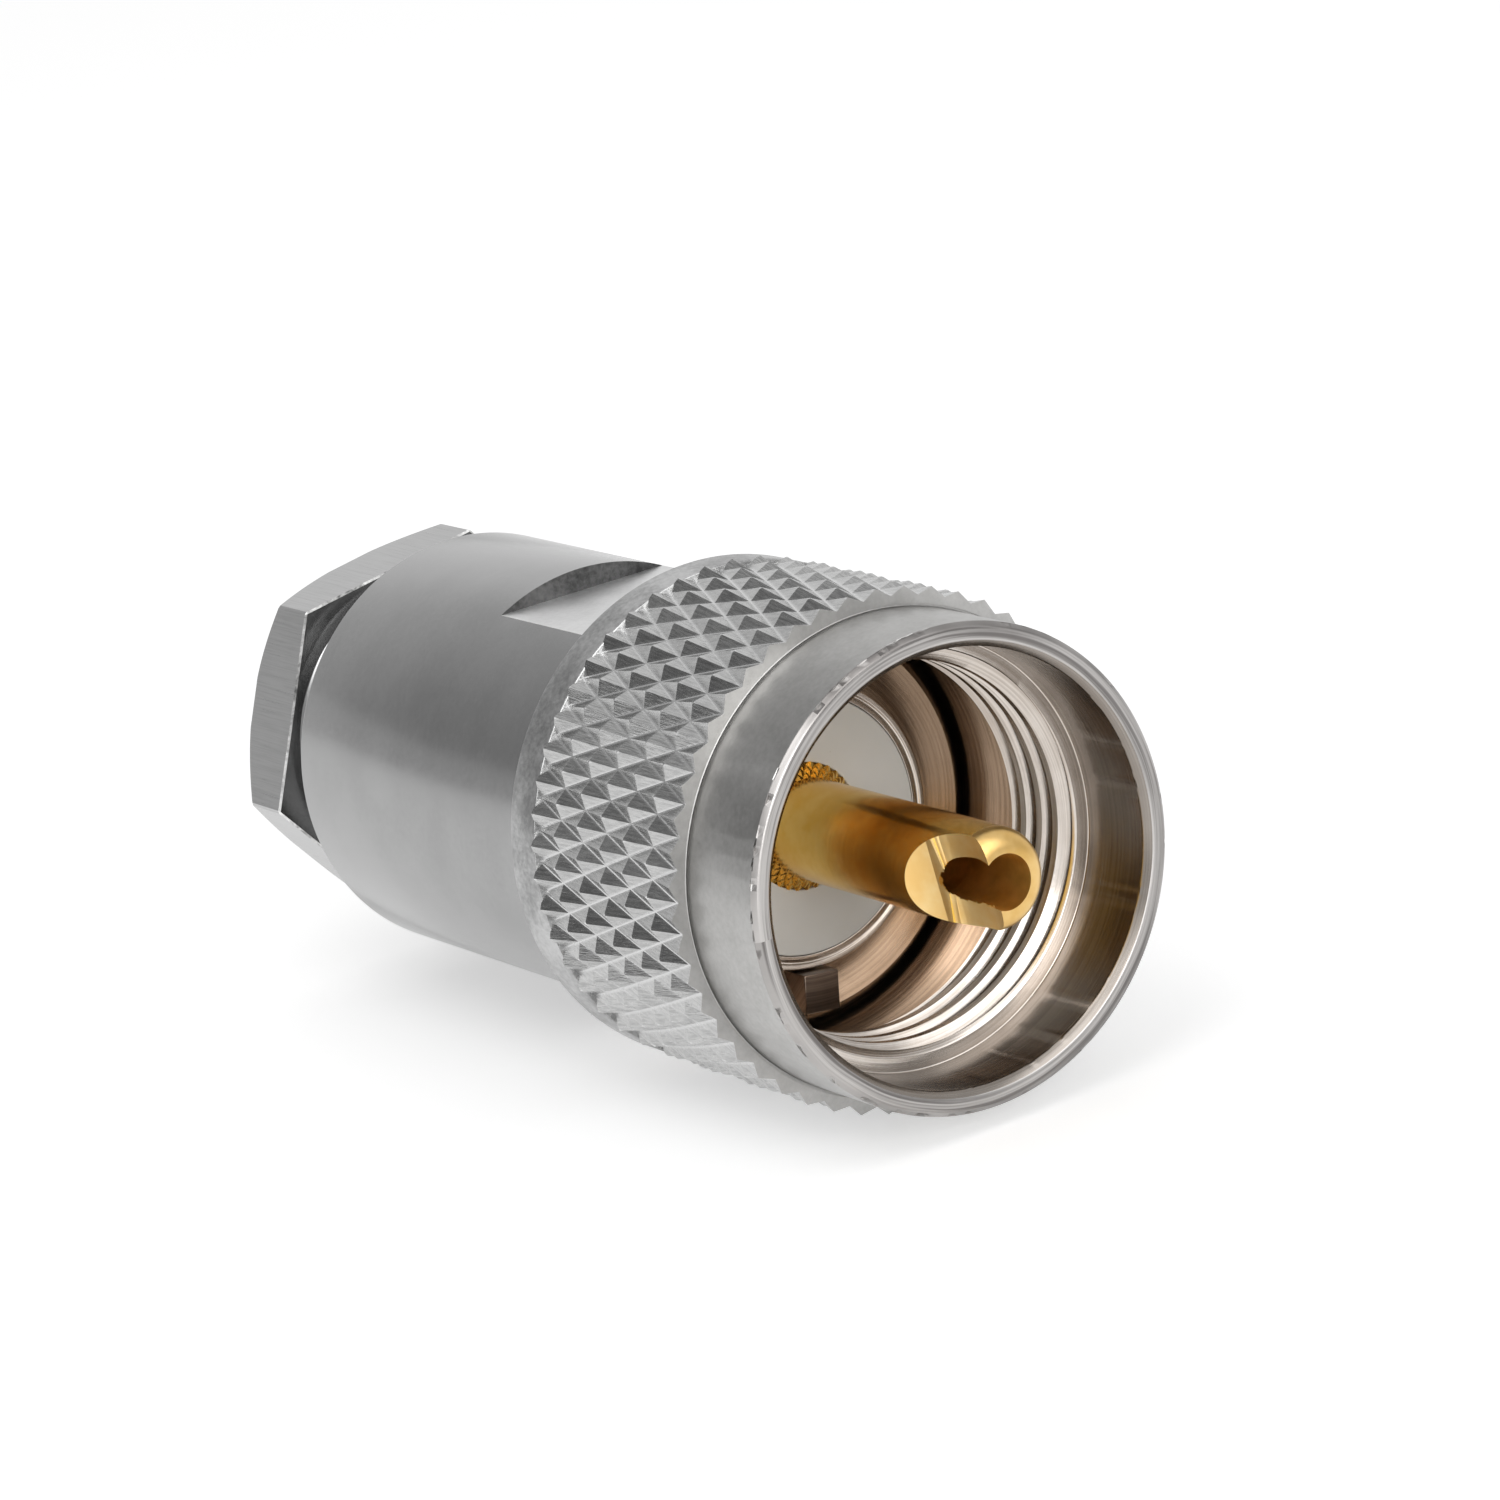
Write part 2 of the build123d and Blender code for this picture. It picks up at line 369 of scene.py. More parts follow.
@dataclass(frozen=True)
class GoldPlate(Finish):
    """Gold plate with fine polishing marks round the pin."""

    def surface(self, graph: Graph) -> dict[int | str, object]:
        """Fine rings and a slow change of tone."""
        place = graph.place()
        x, radius, angle = graph.around(place)
        rings = graph.noise(graph.vector(x * 11.0, angle * 0.6, radius * 11.0), 1.0, 2.0, 0.6)
        cloud = graph.noise(place, 0.8, 3.0, 0.6)
        colour = graph.blend(cloud.between(0.3, 0.75), self.stain, self.colour)
        rough = self.roughness + (rings - 0.5) * 0.1 + (cloud - 0.5) * 0.06
        return {"Base Color": colour, "Roughness": rough, "Normal": graph.bump(rings, 0.0015)}


@dataclass(frozen=True)
class BeadPlastic(Finish):
    """The off-white fluoroplastic of the insulator."""

    speck_colour: Triple = (0.25, 0.2, 0.14)
    refraction: float = 1.38

    def constants(self) -> dict[int | str, object]:
        """Plain plastic with the low refraction of its kind."""
        return {"Metallic": self.metallic, "IOR": self.refraction}

    def surface(self, graph: Graph) -> dict[int | str, object]:
        """A waxy surface with faint turning rings and a few dark specks."""
        place = graph.place()
        x, radius, angle = graph.around(place)
        rings = graph.noise(graph.vector(radius * 7.0, angle * 0.4, x), 1.0, 2.0, 0.5)
        cloud = graph.noise(place, 0.6, 2.0, 0.5)
        speck = graph.noise(place, 5.0, 1.0, 0.4).between(0.8, 0.83)
        colour = graph.blend(speck * 0.5, graph.blend(cloud, self.stain, self.colour), self.speck_colour)
        rough = self.roughness + (rings - 0.5) * 0.12
        return {"Base Color": colour, "Roughness": rough, "Normal": graph.bump(rings, 0.002)}


@dataclass(frozen=True)
class Rubber(Finish):
    """Matt black rubber of the gasket."""

    def surface(self, graph: Graph) -> dict[int | str, object]:
        """A fine moulded grain."""
        grain = graph.noise(graph.place(), 6.0, 3.0, 0.6)
        colour = graph.blend(grain, self.stain, self.colour)
        rough = self.roughness + (grain - 0.5) * 0.2
        return {"Base Color": colour, "Roughness": rough, "Normal": graph.bump(grain, 0.01)}


def grey(level: float) -> Triple:
    """A plain grey."""
    return (level, level, level)


OUTER_NICKEL = SatinNickel(
    "outer_nickel", (0.53, 0.525, 0.515), (0.40, 0.395, 0.385), 0.40, line_depth=0.0020, mottle=0.9
)
KNURL_NICKEL = KnurledNickel("knurl_nickel", (0.58, 0.58, 0.575), grey(0.36), 0.26)
BARREL_NICKEL = SatinNickel("barrel_nickel", grey(0.345), grey(0.30), 0.19, line_depth=0.0005, mottle=0.7)
# Painted light: the flats get a far lighter copy of the barrel's nickel.
FLAT_LIGHT_NICKEL = SatinNickel("flat_light_nickel", grey(0.84), grey(0.70), 0.42, line_depth=0.0010)
# Painted shade: the wall that ends each flat gets a near-black copy of the barrel's nickel, with dark specks.
WALL_SHADE_NICKEL = SatinNickel("wall_shade_nickel", grey(0.17), grey(0.04), 0.38, line_depth=0.0060)
LAND_NICKEL = SatinNickel("land_nickel", grey(0.60), grey(0.24), 0.40, line_depth=0.0060, mottle=0.9)
# Painted highlight: a near-white line on the nut's rounded front edge, broken by painted near-black patches.
EDGE_HIGHLIGHT_NICKEL = SatinNickel("edge_highlight_nickel", (0.97, 0.97, 0.96), grey(0.06), 0.30, line_depth=0.0060)
RIM_NICKEL = CutNickel(
    "rim_nickel",
    (0.58, 0.56, 0.545),
    (0.15, 0.14, 0.135),
    0.34,
    lines_per_mm=4.2,
    line_depth=0.020,
    line_share=0.85,
)
BORE_NICKEL = CutNickel("bore_nickel", (0.37, 0.34, 0.31), (0.23, 0.20, 0.175), 0.25)
MOUTH_NICKEL = CutNickel("mouth_nickel", (0.78, 0.73, 0.68), (0.38, 0.32, 0.27), 0.19, line_depth=0.006)
SHELL_NICKEL = CutNickel("shell_nickel", (0.57, 0.45, 0.345), (0.34, 0.25, 0.18), 0.22, line_depth=0.005)
# Painted shade: the locating teeth get a darker copy of the shell's nickel.
TOOTH_SHADE_NICKEL = CutNickel("tooth_shade_nickel", (0.27, 0.21, 0.17), (0.11, 0.08, 0.06), 0.30)
NUT_NICKEL = MilledNickel("nut_nickel", grey(0.52), grey(0.38), 0.30)
PIN_GOLD = GoldPlate("pin_gold", (1.0, 0.69, 0.20), (0.90, 0.54, 0.10), 0.20)
# Painted shade: the nose gets a darker copy of the pin's gold; its higher roughness is the nose's satin
# finish.
NOSE_SHADE_GOLD = GoldPlate("nose_shade_gold", (0.84, 0.58, 0.24), (0.72, 0.45, 0.14), 0.34)
SCOOP_GOLD = GoldPlate("scoop_gold", (0.92, 0.69, 0.33), (0.87, 0.58, 0.22), 0.50)
BORE_GOLD = GoldPlate("bore_gold", (0.98, 0.60, 0.16), (0.75, 0.43, 0.09), 0.45)
BEAD_WHITE = BeadPlastic("bead_white", (0.80, 0.79, 0.76), (0.74, 0.73, 0.69), 0.42, metallic=0.0)
GASKET_BLACK = Rubber("gasket_black", grey(0.045), grey(0.025), 0.75, metallic=0.0)


# Turning and milling


def linked(name: str, data: object) -> bpy.types.Object:
    """Makes an object from its data, or from a bmesh that it frees, and links it to the scene.

    Args:
        name: The object's name.
        data: A bmesh, a camera or a lamp.

    Returns:
        The object.
    """
    if isinstance(data, bmesh.types.BMesh):
        mesh = data
        data = bpy.data.meshes.new(name)
        mesh.to_mesh(data)
        mesh.free()
    made = bpy.data.objects.new(name, data)
    bpy.context.scene.collection.objects.link(made)
    return made


def about_axis(radius: float, degrees: float, x: float = 0.0) -> Vector:
    """A point at a station, a radius and an angle about the axis."""
    angle = math.radians(degrees)
    return Vector((x, radius * math.cos(angle), radius * math.sin(angle)))


def radius_of(point: Vector) -> float:
    """Distance of a point from the axis."""
    return math.hypot(point.y, point.z)


class Workpiece:
    """A mesh being cut, in millimetres, with its axis along X."""

    def __init__(self) -> None:
        """Starts empty."""
        self.mesh = bmesh.new()

    @classmethod
    def turned(cls, profile: Profile, segments: int, soft: float = 0.0) -> Workpiece:
        """A piece turned from a closed half profile.

        Args:
            profile: Points of (x, radius).
            segments: How many faces go round.
            soft: How wide its edges are rounded.

        Returns:
            The new workpiece.
        """
        work = cls()
        work.turn(profile, segments, closed=True)
        if soft > 0.0:
            work.soften(soft)
        return work

    @classmethod
    def rod(
        cls, x_back: float, x_front: float, radius_back: float, radius_front: float, segments: int
    ) -> Workpiece:
        """A solid rod or cone on the axis.

        Args:
            x_back: Where it starts.
            x_front: Where it ends.
            radius_back: Its radius at the start.
            radius_front: Its radius at the end.
            segments: How many faces go round.

        Returns:
            The new workpiece.
        """
        work = cls()
        middle = Matrix.Translation(((x_back + x_front) / 2, 0.0, 0.0))
        bmesh.ops.create_cone(
            work.mesh,
            cap_ends=True,
            segments=segments,
            radius1=radius_back,
            radius2=radius_front,
            depth=x_front - x_back,
            matrix=middle @ Matrix.Rotation(math.pi / 2, 4, "Y"),
        )
        return work

    def geometry(self) -> list[object]:
        """Every vertex, edge and face."""
        return [*self.mesh.verts, *self.mesh.edges, *self.mesh.faces]

    def turn(self, profile: Profile, segments: int, closed: bool = False, pitch: float = 0.0) -> None:
        """Turns a half profile about the axis.

        Args:
            profile: Points of (x, radius).
            segments: How many faces go round.
            closed: Whether the last point joins the first.
            pitch: Advance of one turn, for a screw.
        """
        verts = [self.mesh.verts.new((x, radius, 0.0)) for x, radius in profile]
        pairs = list(zip(verts, verts[1:]))
        if closed:
            pairs.append((verts[-1], verts[0]))
        edges = [self.mesh.edges.new(pair) for pair in pairs]
        bmesh.ops.spin(
            self.mesh,
            geom=[*verts, *edges],
            cent=ORIGIN,
            axis=AXIS,
            dvec=(pitch / segments, 0.0, 0.0),
            angle=math.tau,
            steps=segments,
            use_merge=pitch == 0.0,
        )

    def thread(
        self, x_back: float, x_front: float, crest: float, root: float, pitch: float, segments: int
    ) -> None:
        """Makes a solid right-handed screw that ends square at both stations.

        Args:
            x_back: Where the thread starts.
            x_front: Where it ends.
            crest: Radius at the flat tops of the ridges.
            root: Radius at the bottom of the grooves.
            pitch: Advance of one turn.
            segments: How many faces go round.
        """
        turns = math.ceil((x_front - x_back) / pitch) + 3
        start = x_back - 1.5 * pitch
        points = [
            (start + (turn + along) * pitch, crest + (root - crest) * depth)
            for turn in range(turns)
            for along, depth in CREST_SHAPE + ROOT_SHAPE
        ]
        self.turn(points, segments, pitch=pitch)
        bmesh.ops.remove_doubles(self.mesh, verts=self.mesh.verts, dist=1e-4)
        for station, keep_front in ((x_back, True), (x_front, False)):
            bmesh.ops.bisect_plane(
                self.mesh,
                geom=self.geometry(),
                dist=1e-5,
                plane_co=(station, 0.0, 0.0),
                plane_no=AXIS,
                clear_inner=keep_front,
                clear_outer=not keep_front,
            )
        self.cap()

    def cap(self) -> None:
        """Closes each open loop with one flat face."""
        rims = [edge for edge in self.mesh.edges if len(edge.link_faces) == 1]
        bmesh.ops.holes_fill(self.mesh, edges=rims, sides=0)

    def knurl(
        self,
        x_back: float,
        x_front: float,
        valley: float,
        crest: float,
        count: int,
        periods: int,
        groove: float,
        tip: float,
        seed: int,
    ) -> None:
        """Makes a solid log with a diamond knurl: a four-sided pyramid on each diamond, with grooves between.

        Args:
            x_back: Where the knurl starts.
            x_front: Where it ends.
            valley: Radius at the crossings of the grooves.
            crest: Radius at the tips.
            count: Diamonds round the axis.
            periods: Diamonds along it.
            groove: Half the width of the flat at the bottom of a groove.
            tip: How far down a tip is blunted, along its edges.
            seed: Start of the random unevenness.
        """
        rows = 2 * periods
        self.turn([(x_back + (x_front - x_back) * row / rows, crest) for row in range(rows + 1)], 2 * count)
        chance = random.Random(seed)
        valleys = []
        tips = []
        for vert in self.mesh.verts:
            row = round((vert.co.x - x_back) / (x_front - x_back) * rows)
            place = round(math.atan2(vert.co.z, vert.co.y) / math.pi * count) % (2 * count)
            low = (row + place) % 2 == 0
            radius = valley if low else crest + chance.uniform(-TIP_UNEVENNESS, 0.0)
            vert.co = about_axis(radius, (place + 0.5) * 180.0 / count, vert.co.x)
            if low:
                valleys.append(vert)
            elif 0 < row < rows:
                tips.append(vert)
        bmesh.ops.connect_verts(self.mesh, verts=valleys)
        low_verts = set(valleys)
        grooves = [
            edge
            for edge in {e for v in valleys for e in v.link_edges}
            if edge.verts[0] in low_verts and edge.verts[1] in low_verts
        ]
        grooves.sort(key=lambda edge: tuple(edge.verts[0].co) + tuple(edge.verts[1].co))
        self.bevel(tips, tip, 1, "VERTICES")
        if groove > 0.0:
            self.bevel([edge for edge in grooves if edge.is_valid], groove, 1, "EDGES")
        self.cap()

    def bevel(self, items: list[object], width: float, segments: int, affect: str) -> None:
        """Bevels edges or vertices."""
        bmesh.ops.bevel(
            self.mesh,
            geom=items,
            offset=width,
            offset_type="OFFSET",
            segments=segments,
            profile=0.5,
            affect=affect,
            material=-1,
            clamp_overlap=True,
        )

    def soften(self, width: float, segments: int = 2) -> None:
        """Rounds every sharp edge between two faces."""
        self.bevel([edge for edge in self.mesh.edges if is_sharp(edge)], width, segments, "EDGES")

    def knock(self, near: Callable[[Vector], bool], count: int, depth: float, seed: int) -> None:
        """Leaves small knocks on an edge.

        Args:
            near: Whether a point is on that edge.
            count: How many knocks.
            depth: The deepest one.
            seed: Start of the random places.
        """
        chance = random.Random(seed)
        edge = sorted((v for v in self.mesh.verts if near(v.co)), key=lambda v: tuple(v.co))
        for vert in chance.sample(edge, min(count, len(edge))):
            inward = Vector((0.0, -vert.co.y, -vert.co.z)).normalized()
            vert.co += (inward - Vector(AXIS)) * chance.uniform(0.3, 1.0) * depth

    def finish(
        self,
        name: str,
        finishes: Sequence[Finish],
        choose: Callable[[Vector, Vector], int] | None = None,
        flat: Callable[[Vector], bool] | None = None,
    ) -> bpy.types.Object:
        """Closes the work and makes its object in metres.

        Args:
            name: The object's name.
            finishes: Its finishes.
            choose: Picks a finish from a face's place, as station and mean radius, and its normal.
            flat: Whether the face at such a place keeps its flat facets.

        Returns:
            The object, linked to the scene.
        """
        bmesh.ops.remove_doubles(self.mesh, verts=self.mesh.verts, dist=2e-4)
        bmesh.ops.dissolve_degenerate(self.mesh, edges=self.mesh.edges, dist=1e-5)
        bmesh.ops.recalc_face_normals(self.mesh, faces=self.mesh.faces)
        self.mesh.normal_update()
        for face in self.mesh.faces:
            reach = sum(radius_of(vert.co) for vert in face.verts) / len(face.verts)
            place = Vector((face.calc_center_median().x, reach, 0.0))
            face.smooth = flat is None or not flat(place)
            if choose is not None:
                face.material_index = choose(place, face.normal)
        for edge in self.mesh.edges:
            edge.smooth = not is_sharp(edge)
        open_edges = sum(1 for edge in self.mesh.edges if len(edge.link_faces) != 2)
        bmesh.ops.scale(self.mesh, vec=(MILLIMETRE,) * 3, verts=self.mesh.verts)
        made = linked(name, self.mesh)
        for finish in finishes:
            made.data.materials.append(finish.material())
        log.info("%s: %d faces, %d open edges", name, len(made.data.polygons), open_edges)
        return made

    def cut(self, *cuts: tuple[Cut, Workpiece]) -> Workpiece:
        """Cuts or joins other workpieces, which are used up with this one.

        Args:
            cuts: What is done, in order, with which tool.

        Returns:
            A new workpiece with the result.
        """
        used = []
        for number, work in enumerate((self, *(tool for _, tool in cuts))):
            bmesh.ops.recalc_face_normals(work.mesh, faces=work.mesh.faces)
            used.append(linked(f"stock_{number}", work.mesh))
        for (cut, _), tool in zip(cuts, used[1:]):
            step = used[0].modifiers.new(tool.name, "BOOLEAN")
            step.operation = cut.value
            step.solver = "EXACT"
            step.object = tool
        graph = bpy.context.evaluated_depsgraph_get()
        result = Workpiece()
        result.mesh.from_mesh(used[0].evaluated_get(graph).to_mesh())
        for spent in used:
            data = spent.data
            bpy.data.objects.remove(spent)
            bpy.data.meshes.remove(data)
        bmesh.ops.remove_doubles(result.mesh, verts=result.mesh.verts, dist=1e-4)
        return result


def is_sharp(edge: bmesh.types.BMEdge) -> bool:
    """Whether an edge between two faces is sharp."""
    return len(edge.link_faces) == 2 and abs(edge.calc_face_angle(0.0)) > math.radians(SHARP_ANGLE)


def seat(piece: bpy.types.Object, body: Body, slot: Slot, *nodes: str) -> bpy.types.Object:
    """Lets a piece stand for its CAD nodes.

    Args:
        piece: The piece.
        body: The body it rides on.
        slot: Its material slot; not used.
        nodes: The CAD nodes it stands for.

    Returns:
        The same piece.
    """
    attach(piece, body.value)
    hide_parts(*nodes)
    return piece


# The pieces


@dataclass
class CouplingRing:
    """The knurled coupling ring: front band, counterbore, 5/8-24 thread, relief and rear lip."""

    rim_face: float = 10.4
    step_face: float = 5.8
    counterbore_floor: float = 6.6
    thread_end: float = 2.5
    lip_face: float = -3.4
    knurl_back: float = -4.2
    back: float = -6.2
    band_radius: float = 9.36
    counterbore_radius: float = 8.38
    thread_minor: float = 7.37
    thread_major: float = 7.93
    pitch: float = 1.058
    relief_radius: float = 8.45
    lip_radius: float = 7.5
    rear_radius: float = 10.0
    knurl_valley: float = 9.78
    knurl_crest: float = 10.15
    knurl_count: int = 50
    knurl_periods: int = 3
    band_chamfer: float = 0.2
    mouth_chamfer: float = 0.3
    rear_chamfer: float = 0.25
    segments: int = 240
    tap_segments: int = 144

    def core(self) -> Workpiece:
        """The ring as turned, before it is tapped and knurled."""
        root = self.knurl_valley - 0.25
        step = self.step_face - 0.01
        work = Workpiece.turned(
            (
                (self.rim_face, self.counterbore_radius + self.mouth_chamfer),
                (self.rim_face, self.band_radius - self.band_chamfer),
                (self.rim_face - self.band_chamfer, self.band_radius),
                (step, self.band_radius),
                (step, root),
                (self.knurl_back, root),
                (self.knurl_back, self.rear_radius),
                (self.back + self.rear_chamfer, self.rear_radius),
                (self.back, self.rear_radius - self.rear_chamfer),
                (self.back, self.lip_radius),
                (self.lip_face, self.lip_radius),
                (self.lip_face, self.relief_radius),
                (self.thread_end, self.relief_radius),
                (self.thread_end, self.thread_minor + 0.4),
                (self.thread_end + 0.4, self.thread_minor),
                (self.counterbore_floor - 0.45, self.thread_minor),
                (self.counterbore_floor, self.thread_minor + 0.42),
                (self.counterbore_floor, self.counterbore_radius),
                (self.rim_face - self.mouth_chamfer, self.counterbore_radius),
            ),
            self.segments,
            soft=0.05,
        )
        rim_edge = self.band_radius - 0.12
        mouth_edge = self.counterbore_radius + 0.2
        work.knock(
            lambda p: p.x > self.rim_face - 0.22 and radius_of(p) > rim_edge, count=64, depth=0.11, seed=11
        )
        work.knock(
            lambda p: p.x > self.rim_face - 0.4 and radius_of(p) < mouth_edge, count=30, depth=-0.05, seed=12
        )
        return work

    def tap(self) -> Workpiece:
        """The tap that cuts the thread's grooves."""
        work = Workpiece()
        back = self.thread_end - 0.5
        front = self.counterbore_floor + 0.5
        work.thread(back, front, self.thread_minor - 0.15, self.thread_major, self.pitch, self.tap_segments)
        return work

    def sleeve(self) -> Workpiece:
        """The knurled sleeve."""
        work = Workpiece()
        work.knurl(
            self.knurl_back - 0.01,
            self.step_face,
            self.knurl_valley,
            self.knurl_crest,
            self.knurl_count,
            self.knurl_periods,
            groove=0.035,
            tip=0.07,
            seed=5,
        )
        inner = self.knurl_valley - 0.3
        drill = Workpiece.rod(self.knurl_back - 1.0, self.step_face + 1.0, inner, inner, self.segments)
        return work.cut((Cut.REMOVE, drill))

    def finish_of(self, middle: Vector, normal: Vector) -> int:
        """The finish of a face: outer band, knurl, rim, mouth, counterbore or rear land."""
        radius = radius_of(middle)
        if radius < self.counterbore_radius + 0.25 and middle.x < self.rim_face - 0.02:
            return 4 if middle.x > self.counterbore_floor + 0.05 else 3
        if middle.x > self.rim_face - 0.21 and radius < self.band_radius - 0.02:
            return 2
        if middle.x < self.knurl_back and radius > self.rear_radius - 0.3:
            return 5
        return 1 if self.is_knurl(middle) else 0

    def is_knurl(self, middle: Vector) -> bool:
        """Whether a face is on the knurl."""
        outside = radius_of(middle) > self.band_radius + 0.2
        return outside and self.knurl_back < middle.x < self.step_face - 0.01

    def build(self) -> bpy.types.Object:
        """Makes the ring.

        Returns:
            Its object.
        """
        finishes = (OUTER_NICKEL, KNURL_NICKEL, RIM_NICKEL, MOUTH_NICKEL, BORE_NICKEL, LAND_NICKEL)
        whole = self.core().cut((Cut.REMOVE, self.tap()), (Cut.JOIN, self.sleeve()))
        piece = whole.finish("knurled_coupling_ring", finishes, self.finish_of, self.is_knurl)
        return seat(piece, Body.RING, Slot.NICKEL, "coupling_ring")


@dataclass
class CentrePin:
    """The hollow gold pin: bead collar at its foot, rounded nose and scooped solder opening."""

    radius: float = 1.98
    bore: float = 1.32
    shank: float = 1.75
    shank_end: float = -0.6
    tip: float = 13.1
    nose: float = 0.9
    nose_bore: float = 1.08
    nose_bore_end: float = 9.0
    tail: float = -13.0
    collar_back: float = -1.2
    collar_valley: float = 2.40
    collar_crest: float = 2.60
    collar_count: int = 36
    collar_periods: int = 3
    collar_taper: float = 0.235
    scoop_radius: float = 3.4
    scoop_station: float = 12.12
    scoop_height: float = 3.82
    scoop_direction: float = 187.5
    burr_length: float = 0.9
    burr_seed: int = 21
    segments: int = 128
    scoop_segments: int = 224

    def tube(self) -> Workpiece:
        """The pin without its collar, rounded at the nose and narrowed in its bore there."""
        turns = [math.radians(angle) for angle in range(75, -1, -15)]
        middle = self.tip - self.nose
        flat = self.radius - self.nose
        nose = [(middle + self.nose * math.sin(turn), flat + self.nose * math.cos(turn)) for turn in turns]
        return Workpiece.turned(
            (
                (self.shank_end, self.shank),
                (self.tail, self.shank),
                (self.tail, self.bore),
                (self.nose_bore_end - 0.3, self.bore),
                (self.nose_bore_end, self.nose_bore),
                (self.tip, self.nose_bore),
                (self.tip, flat),
                *nose,
                (self.shank_end, self.radius),
            ),
            self.segments,
        )

    def collar(self) -> Workpiece:
        """The bead collar, which tapers down to the pin over its front half."""
        work = Workpiece()
        work.knurl(
            self.collar_back,
            0.0,
            self.collar_valley,
            self.collar_crest,
            self.collar_count,
            self.collar_periods,
            groove=0.0,
            tip=0.07,
            seed=8,
        )
        for vert in work.mesh.verts:
            taper = 1.0 - self.collar_taper * max(0.0, 1.0 - vert.co.x / self.collar_back * 2.0)
            vert.co.y *= taper
            vert.co.z *= taper
        drill = Workpiece.rod(self.collar_back - 0.5, 0.5, self.bore, self.bore, self.segments)
        return work.cut((Cut.REMOVE, drill))

    def scoop(self) -> Workpiece:
        """The round cutter that opens one side of the nose, across the axis."""
        reach = 2.0 * self.radius
        work = Workpiece.rod(-reach, reach, self.scoop_radius, self.scoop_radius, self.scoop_segments)
        across = Matrix.Rotation(math.radians(self.scoop_direction - 90.0), 3, "X")
        turn = across @ Matrix.Rotation(math.pi / 2, 3, "Z")
        bmesh.ops.rotate(work.mesh, cent=ORIGIN, matrix=turn, verts=work.mesh.verts)
        middle = about_axis(self.scoop_height, self.scoop_direction, self.scoop_station)
        bmesh.ops.translate(work.mesh, vec=middle, verts=work.mesh.verts)
        return work

    def is_scooped(self, point: Vector) -> bool:
        """Whether a point lies on the scoop's surface."""
        height = point.dot(about_axis(1.0, self.scoop_direction)) - self.scoop_height
        return abs(math.hypot(point.x - self.scoop_station, height) - self.scoop_radius) < 0.02

    def fray(self, work: Workpiece) -> None:
        """Leaves the ragged burr at the rear of the opening."""
        chance = random.Random(self.burr_seed)
        bore = self.nose_bore + 0.01
        rim = [v for v in work.mesh.verts if radius_of(v.co) < bore and self.is_scooped(v.co)]
        first = min(vert.co.x for vert in rim)
        low_side = about_axis(1.0, self.scoop_direction + 90.0)
        for vert in sorted(rim, key=lambda v: tuple(v.co)):
            share = max(0.0, 1.0 - (vert.co.x - first) / self.burr_length)
            vert.co.x += share * (0.30 * share + chance.uniform(-0.10, 0.16))
            if vert.co.dot(low_side) > 0.3 and share < 0.8 and vert.co.x < self.scoop_station + 0.4:
                vert.co -= low_side * chance.uniform(0.0, 0.13)

    def finish_of(self, middle: Vector, normal: Vector) -> int:
        """The finish of a face: outside, bore, scoop or nose, whose darker gold is painted shade."""
        facing = normal.dot(about_axis(1.0, self.scoop_direction))
        if middle.x > self.nose_bore_end and facing > 0.5 and abs(normal.x) > 0.003:
            return 2
        if middle.x > self.tip - self.nose and normal.x > 0.1:
            return 3
        inside = radius_of(middle) < self.bore + 0.005 and abs(normal.x) < 0.2
        return 1 if inside and middle.x < self.tip - 0.01 else 0

    def build(self) -> bpy.types.Object:
        """Makes the pin.

        Returns:
            Its object.
        """
        work = self.tube().cut((Cut.JOIN, self.collar()), (Cut.REMOVE, self.scoop()))
        self.fray(work)
        finishes = (PIN_GOLD, BORE_GOLD, SCOOP_GOLD, NOSE_SHADE_GOLD)
        piece = work.finish("gold_centre_pin", finishes, self.finish_of)
        return seat(piece, Body.PLUG, Slot.GOLD, "centre_pin")


